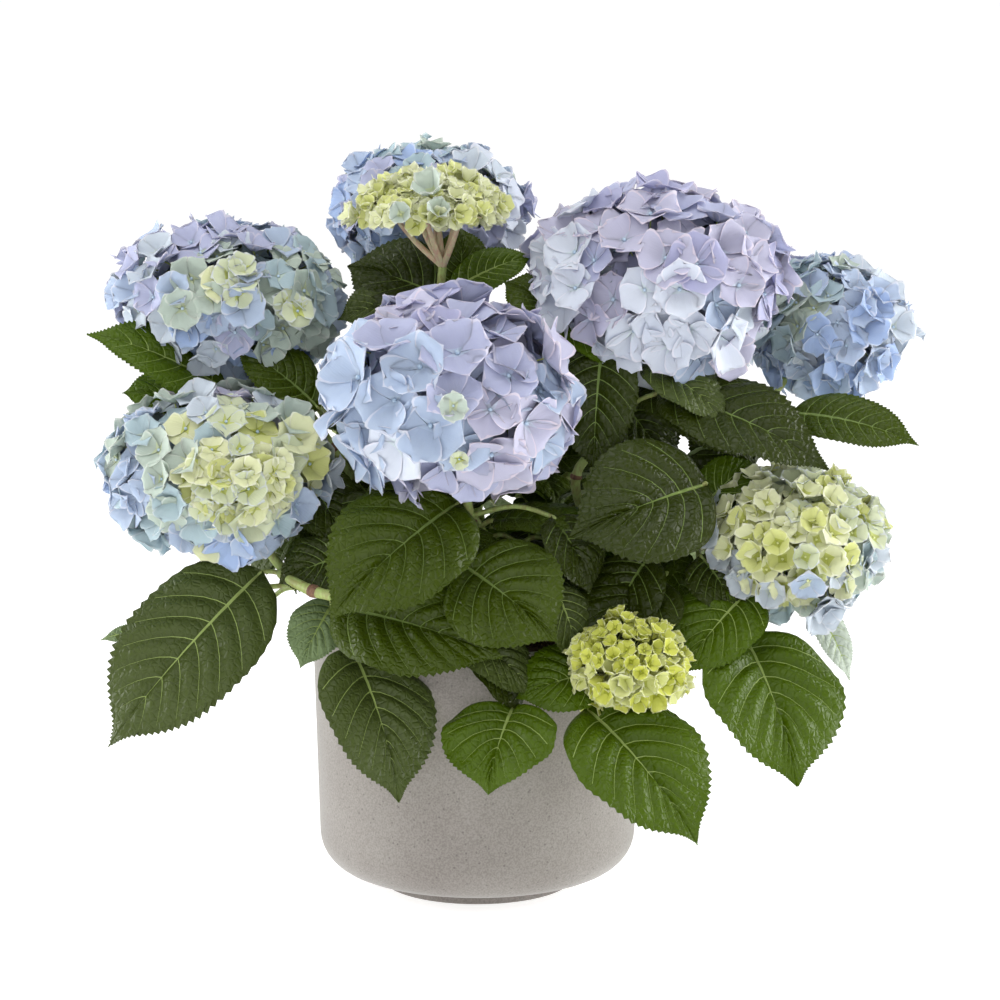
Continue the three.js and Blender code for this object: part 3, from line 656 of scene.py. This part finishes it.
def add_leaf(heap, stalks, foot, spec, tone, detail, rim_bend=False):
    """One leaf in the heap of leaves, and its petiole and keel in the heap of stalks.
    spec: where the blade is, its heading, dip, length, width and turn."""
    points, faces, maps, is_rib, tops = blade(*spec, detail)
    tones = np.full(len(faces), list(LEAF_TONES).index(tone))
    tones[:tops][is_rib] = DARK_RIB if tone in ("deep", "mid") else LIGHT_RIB
    tones[tops:] = UNDER
    heap.add(points, faces, tones, maps)
    at, heading, dip, _, _, turn = spec
    turned = place_of(heading, dip, turn)
    reach = np.linalg.norm(at - foot)
    bend = foot + (at - foot) * 0.55 + up(0.12 * reach)
    if rim_bend:
        out = unit(at - up(at[2])) * (POT["rim"] - POT["wall"] / 2)
        bend = out + up(POT["height"] + OVER_RIM)
    inside = at + turned @ (4 * MM, 0, 0.2 * MM)
    route = smooth_route([foot, bend, at, inside], 12)
    stalks.add(*tube(route, np.linspace(*PETIOLE_RADII, len(route)), 7), 0)
    # the keel under the midrib, which the blade's own middle column carries
    rows, columns = detail["rows"] + 1, 2 * len(detail["sides"]) + 2
    grid = points[:rows * columns].reshape(rows, columns, 3)
    middle = (grid[:, columns // 2 - 1] + grid[:, columns // 2]) / 2
    keel = middle[:int(rows * 0.86):3] - turned @ up(1.0 * MM)
    stalks.add(*tube(keel, np.linspace(1.3 * MM, 0.4 * MM, len(keel)), 5), 0)


# ---- limbs

# steps along a shoot, and how many of them may bear leaves and show
ROUTE_STEPS, LEAFY, BARE_TOP = 60, 38, 54
shoot_routes = {
    name: smooth_route(M([CANES[spec["cane"]][-1], *spec["via"], spec["at"]]), ROUTE_STEPS)
    for name, spec in HEADS.items()}
search = np.concatenate([route[:LEAFY] for route in shoot_routes.values()])


def nearest_on_shoots(target):
    """The point of the shoots nearest below a place."""
    far = np.linalg.norm(search - target, axis=1) + np.maximum(0, search[:, 2] - target[2])
    return search[far.argmin()]


def box_of(name):
    """Middle and half size of a solid's box."""
    low, high = (np.array(corner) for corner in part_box(name))
    return (low + high) / 2, (high - low) / 2


def make_canes():
    """Woody canes with the ridged, peeling bark of old growth."""
    heap = Heap([cane_bark])
    for points in CANES.values():
        route = smooth_route(M(points), 46)
        sides = 22
        angle = np.arange(sides) * math.tau / sides
        twist = rng.uniform(0, 6.28)
        relief = []
        for k in range(len(route)):
            fissure = 0.07 * np.sin(5 * angle + twist + 0.05 * k) + 0.05 * np.sin(
                9 * angle - twist + 0.11 * k) + rng.uniform(-0.03, 0.03, sides)
            ring = 0.16 * math.exp(-((k % 15 - 7) / 1.3) ** 2)
            relief.append(1 + fissure + ring)
        heap.add(*tube(route, np.linspace(*CANE_RADII, len(route)), sides, relief), 0)
        top = route[-1]
        lip = np.array([top - up(3 * MM), top, top + up(3 * MM)])
        heap.add(*tube(lip, M([4.0, 5.4, 3.0]), 14), 0)
    heap.make("canes", list(CANES))


def fork_of(name):
    """Where the stalk of a flower head parts."""
    aside, drop = (8 * MM, 1.15) if HEADS[name].get("flat") else (0, 0.45)
    return M(HEADS[name]["at"]) + np.array([aside, 0, -drop * box_of(name)[1][2]])


def noded_stem(heap, route, radii, swell, growth):
    """A green stem, thicker and rusty where swell nears 1."""
    points, faces = tube(route, radii * (1 + growth * swell), STEM_SIDES)
    tones = np.zeros(len(faces), dtype=int)
    rusty = np.tile(np.repeat(swell[:-1] > 0.45, STEM_SIDES), 2)
    tones[:len(rusty)][rusty] = 1
    heap.add(points, faces, tones)


def make_shoots():
    """Green shoots with a swollen, rusty node where each pair of leaves stood."""
    heap = Heap([green_stem, stem_node])
    for head, route in shoot_routes.items():
        route = route[:BARE_TOP:3]
        if HEADS[head].get("flat"):
            route = np.vstack([route[:-2], [fork_of(head)]])
        route = smooth_route(route, 70)
        lengths = np.concatenate([[0], np.cumsum(np.linalg.norm(np.diff(route, axis=0), axis=1))])
        radii = np.linspace(*SHOOT_RADII, len(route))
        beat = (lengths / NODE_GAP) % 1
        swell = np.exp(-((beat - 0.5) / 0.05) ** 2)
        noded_stem(heap, route, radii, swell, 0.32)
    scar = np.exp(-((np.arange(33) - 24) / 1.7) ** 2)
    noded_stem(heap, smooth_route(M(STUB), 32), SHOOT_RADII[0], scar, 0.3)
    heap.make("shoots", [head.replace("head", "shoot") for head in HEADS])


# ---- flower heads

# places of a sepal's rows from claw to tip, and of its columns from edge to edge
SEPAL_GRID = {
    "fine": ((0, 0.13, 0.34, 0.54, 0.70, 0.83, 0.93, 0.985, 1.0),
             (-1, -0.90, -0.5, 0, 0.5, 0.90, 1)),
    "medium": ((0, 0.16, 0.44, 0.68, 0.86, 0.96, 1.0), (-1, -0.88, 0, 0.88, 1)),
    "plain": ((0, 0.25, 0.58, 0.85, 1.0), (-1, -0.84, 0, 0.84, 1)),
    "inner": ((0, 0.30, 0.65, 0.90, 1.0), (-1, 0, 1)),
}
STALKS = [green_stem, young_stalk_painted_light]


def golden(count, lowest):
    """Evenly spread directions, from straight up down to the given height on the sphere."""
    k = np.arange(count) + 0.5
    z = 1 - (1 - lowest) * k / count
    turn = k * math.pi * (3 - math.sqrt(5))
    flat = np.sqrt(1 - z ** 2)
    return np.stack([flat * np.cos(turn), flat * np.sin(turn), z], 1)


def florets(heap, centres, normals, sizes, cup, kinds, detail):
    """Florets of four broad overlapping sepals round a bead."""
    t, c = (np.array(places) for places in SEPAL_GRID[detail])
    rows, columns = len(t), len(c)
    t, c = t[:, None], c[None, :]
    faces, _ = pillow(rows, columns)
    count = len(centres)
    inner = np.array([[i * columns + j for j in range(1, columns - 1)]
                      for i in range(1, rows - 1)]).ravel()
    part = np.zeros((rows - 1, columns - 1), dtype=int)
    part[0] = 2
    if detail != "inner":
        # part 1 is the rim strip round each sepal, whose paler tone is partly the sepal's own
        # edge colour and partly a painted edge highlight; part 2 is the heart at the claw
        part[-1 - (detail == "fine"):] = part[1:, 0] = part[1:, -1] = 1
    part = np.tile(np.repeat(part.ravel(), 2), 2)
    # each floret's own frame
    roll = rng.uniform(0, math.tau, count)
    helper = np.where(np.abs(normals[:, 2:]) < 0.9, (0, 0, 1.0), (1.0, 0, 0))
    side = unit(np.cross(helper, normals))
    ahead = np.cross(normals, side)
    x_axis = side * np.cos(roll)[:, None] + ahead * np.sin(roll)[:, None]
    frames = np.stack([x_axis, np.cross(normals, x_axis), normals], 2)
    width = np.sqrt(np.clip(1 - np.abs(2 * t ** 1.35 - 1) ** 2.05, 0, 1))
    width[0], width[-1] = 0.16, 0.20

    def draw(low, high):
        """One value a floret, to be spread over its grid."""
        return rng.uniform(low, high, count)[:, None, None]

    size, openness = sizes[:, None, None], cup * draw(0.0, 2.1)
    for k in range(4):
        turn = k * math.pi / 2 + draw(-0.14, 0.14)
        length, broad = size * draw(0.90, 1.10), size * draw(0.58, 0.70)
        bowl = openness * draw(0.75, 1.25)
        spoon, crease, curl = draw(0.08, 0.34), draw(0.0, 0.07), draw(0.0, 0.16)
        ripple, wobble = draw(0.02, 0.07), draw(0, 6.28)
        x = length * t * (1 - 0.10 * bowl * t) * (
            1 - 0.18 * (c * t) ** 2 + 0.04 * (1 - np.abs(c)) ** 2 * t ** 6)
        y = broad * (width * c)
        uv = np.stack(np.broadcast_arrays(length * t, y), -1).reshape(count, -1, 2)
        z = length * (bowl * t ** 1.3 - bowl * np.clip(t - 0.6, 0, 1) ** 2 * 2.0
                      + spoon * c ** 2 * width + crease * np.abs(c) ** 0.7 * width
                      - curl * (c ** 4 * width * t + t ** 5 * 0.6)
                      + ripple * np.sin(3.6 * t + 2.2 * c + wobble) * t)
        z = z + (0.06 if k % 2 else 0.0) * length * np.minimum(1, 3 * t)
        x, y = x * np.cos(turn) - y * np.sin(turn), x * np.sin(turn) + y * np.cos(turn)
        top = np.stack([x, y, z], -1).reshape(count, -1, 3)
        low = top[:, inner] - up(SEPAL_THICK)
        local = np.concatenate([top, low], 1)
        points = np.einsum("fij,fpj->fpi", frames, local) + centres[:, None]
        uv = np.concatenate([uv, uv[:, inner]], 1)
        per = points.shape[1]
        every = (faces[None] + np.arange(count)[:, None, None] * per).reshape(-1, 3)
        heap.add(points.reshape(-1, 3), every, (kinds[:, None] * 3 + part[None]).ravel(),
                 uv.reshape(-1, 2))
    return frames


def bead_shape():
    """A small round bead of 20 faces."""
    shape = bmesh.new()
    bmesh.ops.create_icosphere(shape, subdivisions=1, radius=1.0)
    points = np.array([v.co[:] for v in shape.verts])
    faces = np.array([[v.index for v in f.verts] for f in shape.faces])
    shape.free()
    return points, faces


BEAD_POINTS, BEAD_FACES = bead_shape()


def scatter_beads(heap, centres, frames, radii, tone):
    """One bead a floret, a little proud of where its sepals meet."""
    local = np.einsum("fij,pj->fpi", frames, BEAD_POINTS) * radii[:, None, None]
    points = centres[:, None] + frames[:, None, :, 2] * radii[:, None, None] * 0.7 + local
    faces = BEAD_FACES[None] + np.arange(len(centres))[:, None, None] * len(BEAD_POINTS)
    heap.add(points.reshape(-1, 3), faces.reshape(-1, 3), tone)


def make_head(name, stalks):
    """A domed head: florets over its outline and a second layer within it, carried by
    pedicels that spring from the forks of its stalk."""
    spec = {**HEAD_USUAL, **HEADS[name]}
    middle, half = M(spec["at"]) - up(spec["drop"] * MM), box_of(name)[1]
    size = spec["size"] * MM
    detail = "fine" if spec["size"] > 20 else "medium" if spec["size"] > 14 else "plain"
    flat, patches = spec["flat"], spec["patches"]
    kinds_here = sorted({kind for *_, kinds in patches for kind in kinds.split()}
                        | {kind for patch in spec["young"] for kind in patch[3].split()})
    heap = Heap([m for kind in kinds_here for m in sepals[kind]] + [beads[spec["bead"]]])
    patch_way = unit([way for way, _, _ in patches])
    patch_pull = np.array([pull for _, pull, _ in patches])
    root = fork_of(name)

    def one_of(names):
        """The place of a kind of floret drawn from a list of names."""
        names = names.split()
        return kinds_here.index(names[rng.integers(len(names))])

    def set_out(ways, inset, tilt, kinds, sizes, detail):
        """Florets standing in the given directions from the head's middle."""
        count = len(ways)
        under = np.where(ways[:, 2:] < 0, 0.94, 1.0)
        reach = 1 - inset + rng.uniform(-spec["rough"], spec["rough"], (count, 1))
        centres = middle + ways * half * under * reach
        lift = 0.08 + 0.45 * np.clip(-ways[:, 2:], 0, 1)
        normals = unit(unit(ways / half) + lift * up(1) + rng.normal(0, tilt, (count, 3)))
        frames = florets(heap, centres, normals, sizes, spec["cup"], kinds, detail)
        scatter_beads(heap, centres, frames, sizes * 0.06 + 0.4 * MM, 3 * len(kinds_here))
        add_pedicels(stalks, root, middle, half, centres, normals, spec["stalk"], flat)

    # an outer layer, and a plainer one within it that closes the gaps
    for share, inset, scale, grid in ((1.0, spec["inset"], 1.0, detail),
                                      (0.70, 0.28, 0.9, "inner")):
        ways = golden(int(spec["count"] * share), 0.0 if flat else -0.90)
        ways = ways @ about(2, rng.uniform(0, math.tau)).T
        ways = unit(ways + rng.normal(0, 0.04, ways.shape))
        for way, spread, *_ in spec["young"]:
            ways = ways[ways @ unit(way) < math.cos(spread * 0.85)]
        pulls = ways @ patch_way.T + 0.35 * patch_pull
        pulls = pulls + rng.normal(0, 0.16, pulls.shape)
        kinds = np.array([one_of(patches[p][2]) for p in pulls.argmax(1)])
        sizes = size * scale * rng.uniform(0.84, 1.14, len(ways))
        sizes = sizes * np.where(ways[:, 2] < -0.1, spec["swell_low"], 1.0)
        set_out(ways, inset, spec["tilt"], kinds, sizes, grid)
    for way, spread, count, patch_kinds, patch_size, inset in spec["young"]:
        way = unit(way)
        side = unit(np.cross(way, (0, 0, 1)))
        k = np.arange(count) + 0.5
        turn, out = k * math.pi * (3 - math.sqrt(5)), spread * np.sqrt(k / count)
        ways = unit(way + (out * np.cos(turn))[:, None] * side
                    + (out * np.sin(turn))[:, None] * np.cross(side, way))
        kinds = np.array([one_of(patch_kinds) for _ in range(count)])
        set_out(ways, inset, 0.2, kinds, patch_size * MM * rng.uniform(0.85, 1.15, count),
                "medium" if patch_size > 15 else "plain")
    heap.make(name.replace("head", "florets"), [name])


def add_pedicels(stalks, root, middle, half, centres, normals, tone, flat):
    """Forks of a head's stalk, and a thin pedicel from a fork to each floret."""
    forks = golden(9, 0.05 if flat else -0.35)
    tips = middle + forks * half * (0.62 if flat else 0.45)
    thick = (2.7 if flat else 1.5) * MM
    for tip in tips:
        bend = root + (tip - root) * 0.5 + up((-0.10 if flat else 0.06) * half[2])
        route = smooth_route([root, bend, tip], 6)
        stalks.add(*tube(route, np.linspace(thick, thick * 0.6, 7), 6), tone)
    for centre, normal in zip(centres, normals):
        start = tips[np.linalg.norm(tips - centre, axis=1).argmin()]
        bend = (start + centre) / 2 - normal * 1.5 * MM
        route = np.array([start, bend, centre])
        stalks.add(*tube(route, M([0.7, 0.6, 0.55]), 4), tone)


# ---- crown

def clear_of_heads(points):
    """Whether a blade keeps out of the flower heads, the pot's wall and the compost."""
    for name, spec in HEADS.items():
        inside = (points - M(spec["at"])) / (box_of(name)[1] * 0.93)
        if (np.linalg.norm(inside, axis=1) < 1).any():
            return False
    out = np.linalg.norm(points[:, :2], axis=1)
    in_pot = (out < POT["rim"] + 2 * MM) & (points[:, 2] < POT["height"] + 3 * MM)
    in_soil = (out < POT["rim"] - POT["wall"] - 4 * MM) & (points[:, 2] > SOIL_TOP + 8 * MM)
    return not (in_pot & ~in_soil).any()


def grow_crown(stalks):
    """Each leafy mass as twigs from the nearest shoots, with a pair of leaves at each twig's
    end, a second pair below it and one leaf straight on."""
    heap = Heap(LEAF_MATERIALS)
    for mass, count in TWIGS.items():
        middle, half = box_of(mass)
        for way in golden(count, -0.55):
            target = middle + way * half * rng.uniform(0.40, 0.62)
            foot = nearest_on_shoots(target)
            bend = (foot + target) / 2 + up(8 * MM)
            route = smooth_route([foot, bend, target], 10)
            stalks.add(*tube(route, np.linspace(2.2 * MM, 1.4 * MM, 11), 7), 0)
            outward = math.degrees(math.atan2(way[1], way[0]))
            for share, turns in ((1.0, (-52, 0, 55)), (0.62, (-95, 90))):
                start = route[int(share * 10)]
                for swing in turns:
                    heading = outward + swing + rng.uniform(-16, 16)
                    dip = 26 - 42 * way[2] + rng.uniform(-12, 14)
                    length = rng.uniform(72, 108) * MM * (0.85 if share < 1 else 1.0)
                    turn = rng.uniform(-22, 22)
                    for _ in range(3):
                        at = start + place_of(heading, dip - 20, 0) @ (0.2 * length, 0, 0)
                        width = length * rng.uniform(0.62, 0.72)
                        spec = (at, heading, dip, length, width, turn)
                        shape = blade(*spec, COARSE)[0]
                        apart = np.abs((shape - middle) / half).max() < 1.5
                        if apart and clear_of_heads(shape):
                            tone = ("deep", "deep", "mid", "mid", "bright")[rng.integers(5)]
                            add_leaf(heap, stalks, start, spec, tone, COARSE)
                            break
                        length *= 0.82
                        dip += 9
    heap.make("leaves_in_crown", list(TWIGS))


def make_leaves(stalks):
    """The leaves that make the outline or hang over the pot, and those between."""
    heap = Heap(LEAF_MATERIALS)
    for at, heading, dip, length, width, turn, tone in LEAVES.values():
        spec = (M(at), heading, dip, length * MM, width * MM, turn)
        low = at[2] * MM < POT["height"] + OVER_RIM
        add_leaf(heap, stalks, nearest_on_shoots(M(at)), spec, tone, FINE, low)
    heap.make("leaves_outside", list(LEAVES))
    heap = Heap(LEAF_MATERIALS)
    for foot, tip, width, turn, tone in SMALL_LEAVES:
        at = M(foot)
        way = M(tip) - at
        length = np.linalg.norm(way)
        heading = math.degrees(math.atan2(way[1], way[0]))
        dip = -math.degrees(math.asin(way[2] / length))
        spec = (at, heading, dip, length * 1.05, width * MM, turn)
        add_leaf(heap, stalks, nearest_on_shoots(at), spec, tone, FINE)
    heap.make("leaves_between", [])


# ---- pot and compost

def pick(piece, side, low=-1, high=1):
    """Selects just the faces that look up (1) or down (-1) between two heights."""
    bpy.ops.mesh.select_all(action="DESELECT")
    mesh = bmesh.from_edit_mesh(piece.data)
    for face in mesh.faces:
        level = face.normal.z * side > 0.999
        face.select_set(level and low < face.calc_center_median().z < high)
    bmesh.update_edit_mesh(piece.data)


def draw_in(share, height):
    """Scales what is selected towards the axis."""
    bpy.ops.transform.resize(value=(share, share, 1), center_override=up(height))


def sink(depth):
    """Extrudes what is selected, downwards."""
    bpy.ops.mesh.extrude_region_move(TRANSFORM_OT_translate={"value": up(-depth)})


def fresh(name):
    """The new primitive, named."""
    piece = bpy.context.active_object
    piece.name = piece.data.name = name
    return piece


def cylinder(name, sides, radius, low, high):
    """An upright cylinder between two heights, opened for editing by its faces."""
    bpy.ops.object.select_all(action="DESELECT")
    bpy.ops.mesh.primitive_cylinder_add(vertices=sides, radius=radius, depth=high - low,
                                        location=up((low + high) / 2))
    piece = fresh(name)
    bpy.ops.object.transform_apply()
    bpy.ops.object.mode_set(mode="EDIT")
    bpy.ops.mesh.select_mode(type="FACE")
    return piece


def make_pot():
    """Round pot: a cylinder drawn in to its foot, hollowed from above, its edges rounded."""
    piece = cylinder("stone_pot", 128, POT["rim"], POT["foot_height"], POT["height"])
    pick(piece, -1)
    draw_in(POT["base"] / POT["rim"], POT["foot_height"])
    bpy.ops.mesh.bevel(offset=POT["corner"], segments=9)
    pick(piece, -1, high=12 * MM)
    flat = POT["base"] - POT["corner"]
    bpy.ops.mesh.inset(thickness=flat - POT["foot"] - 0.2 * MM)
    bpy.ops.mesh.inset(thickness=1.2 * MM)
    sink(POT["foot_height"])
    pick(piece, 1, low=POT["height"] - 2 * MM)
    bpy.ops.mesh.inset(thickness=POT["wall"])
    sink(POT["height"] - POT["floor"])
    draw_in((POT["base"] - POT["wall"]) / (POT["rim"] - POT["wall"]), POT["floor"])
    bpy.ops.object.mode_set(mode="OBJECT")
    rounded = piece.modifiers.new("rounded_edges", "BEVEL")
    rounded.width, rounded.segments = 2.5 * MM, 4
    rounded.limit_method, rounded.angle_limit = "ANGLE", math.radians(50)
    bpy.ops.object.modifier_apply(modifier=rounded.name)
    bpy.ops.object.shade_smooth_by_angle(angle=math.radians(35))
    piece.data.materials.append(stone)
    declare(piece, ["pot"])


def make_compost():
    """Compost: a disc raised round the canes, broken up, with loose crumbs on it."""
    radius = POT["rim"] - POT["wall"] - 1.4 * MM
    piece = cylinder("compost", 72, radius, SOIL_TOP - 30 * MM, SOIL_TOP)
    pick(piece, 1)
    for _ in range(13):
        bpy.ops.mesh.inset(thickness=7.5 * MM)
    bpy.ops.mesh.poke()
    bpy.ops.object.mode_set(mode="OBJECT")
    ground = piece.data
    points = np.array([v.co[:] for v in ground.vertices])
    out = np.linalg.norm(points[:, :2], axis=1)
    on_top = (points[:, 2] > SOIL_TOP - 1 * MM) & (out < radius - 2 * MM)
    crown = 4 * MM * np.clip(1 - out / (70 * MM), 0, 1)
    points[:, 2] += on_top * (crown + rng.uniform(-1.6, 1.6, len(points)) * MM)
    fill(ground.vertices, "co", points)
    ground.update()
    bpy.ops.object.shade_smooth_by_angle(angle=math.radians(40))
    ground.materials.append(compost)
    declare(piece, ["root_ball"])
    crumbs = Heap([compost])
    for _ in range(420):
        far, turn = radius * math.sqrt(rng.uniform(0, 0.93)), rng.uniform(0, math.tau)
        size = rng.uniform(1.2, 3.4) * MM
        shape = BEAD_POINTS * size * rng.uniform(0.6, 1.3, 3) * rng.uniform(0.8, 1.2, (12, 1))
        lift = SOIL_TOP + 4 * MM * max(0, 1 - far / (70 * MM)) + size * 0.35
        crumbs.add(shape + (far * math.cos(turn), far * math.sin(turn), lift), BEAD_FACES, 0)
    crumbs.make("compost_crumbs", [])


# ---- making

make_pot()
make_compost()
make_canes()
make_shoots()
stalk_heap = Heap(STALKS)
make_leaves(stalk_heap)
grow_crown(stalk_heap)
pedicel_heap = Heap(STALKS)
for head_name in HEADS:
    make_head(head_name, pedicel_heap)
stalk_heap.make("petioles_and_twigs", [])
pedicel_heap.make("pedicels", [])

# ---- studio

TARGET = Vector((0.0164, 0.0, 0.280))
DISTANCE, ELEVATION = 2.6, math.radians(10.3)


def make_studio():
    """Pale floor, soft boxes left, right and above, white room, camera in front."""
    bpy.ops.mesh.primitive_plane_add(size=60, location=(0, 0, 0))
    floor = fresh("floor")
    made, tree, _ = finish("white_floor")
    close(tree, None, Base_Color=linear("#f2f2f2"), Roughness=0.18, Specular_IOR_Level=0.4,
          Emission_Color=(1, 1, 1, 1), Emission_Strength=0.66)
    floor.data.materials.append(made)
    for name, place, size, power in (
            ("key", (-0.9, -2.2, 1.7), 1.6, 13), ("low", (0.3, -2.7, 0.5), 1.8, 15),
            ("left", (-2.3, 0.35, 0.7), 1.6, 49), ("right", (2.3, 0.35, 0.7), 1.6, 56),
            ("top", (0.0, -0.35, 2.3), 1.6, 22)):
        lamp = bpy.data.lights.new(name, "AREA")
        lamp.energy, lamp.size = power, size
        held = in_scene(name, lamp)
        held.location = place
        held.rotation_euler = (TARGET - Vector(place)).to_track_quat("-Z", "Y").to_euler()
    room = bpy.data.worlds.new("room")
    room.use_nodes = True
    walls = room.node_tree.nodes["Background"].inputs
    walls["Color"].default_value, walls["Strength"].default_value = (1, 1, 1, 1), 0.38
    scene.world = room
    lens = bpy.data.cameras.new("camera")
    lens.lens, lens.sensor_width = 130.6, 36
    camera = in_scene("camera", lens)
    back = Vector((0, -math.cos(ELEVATION), math.sin(ELEVATION)))
    camera.location = TARGET + back * DISTANCE
    camera.rotation_euler = (-back).to_track_quat("-Z", "Y").to_euler()
    scene.camera = camera
    scene.view_settings.view_transform = "Standard"


make_studio()
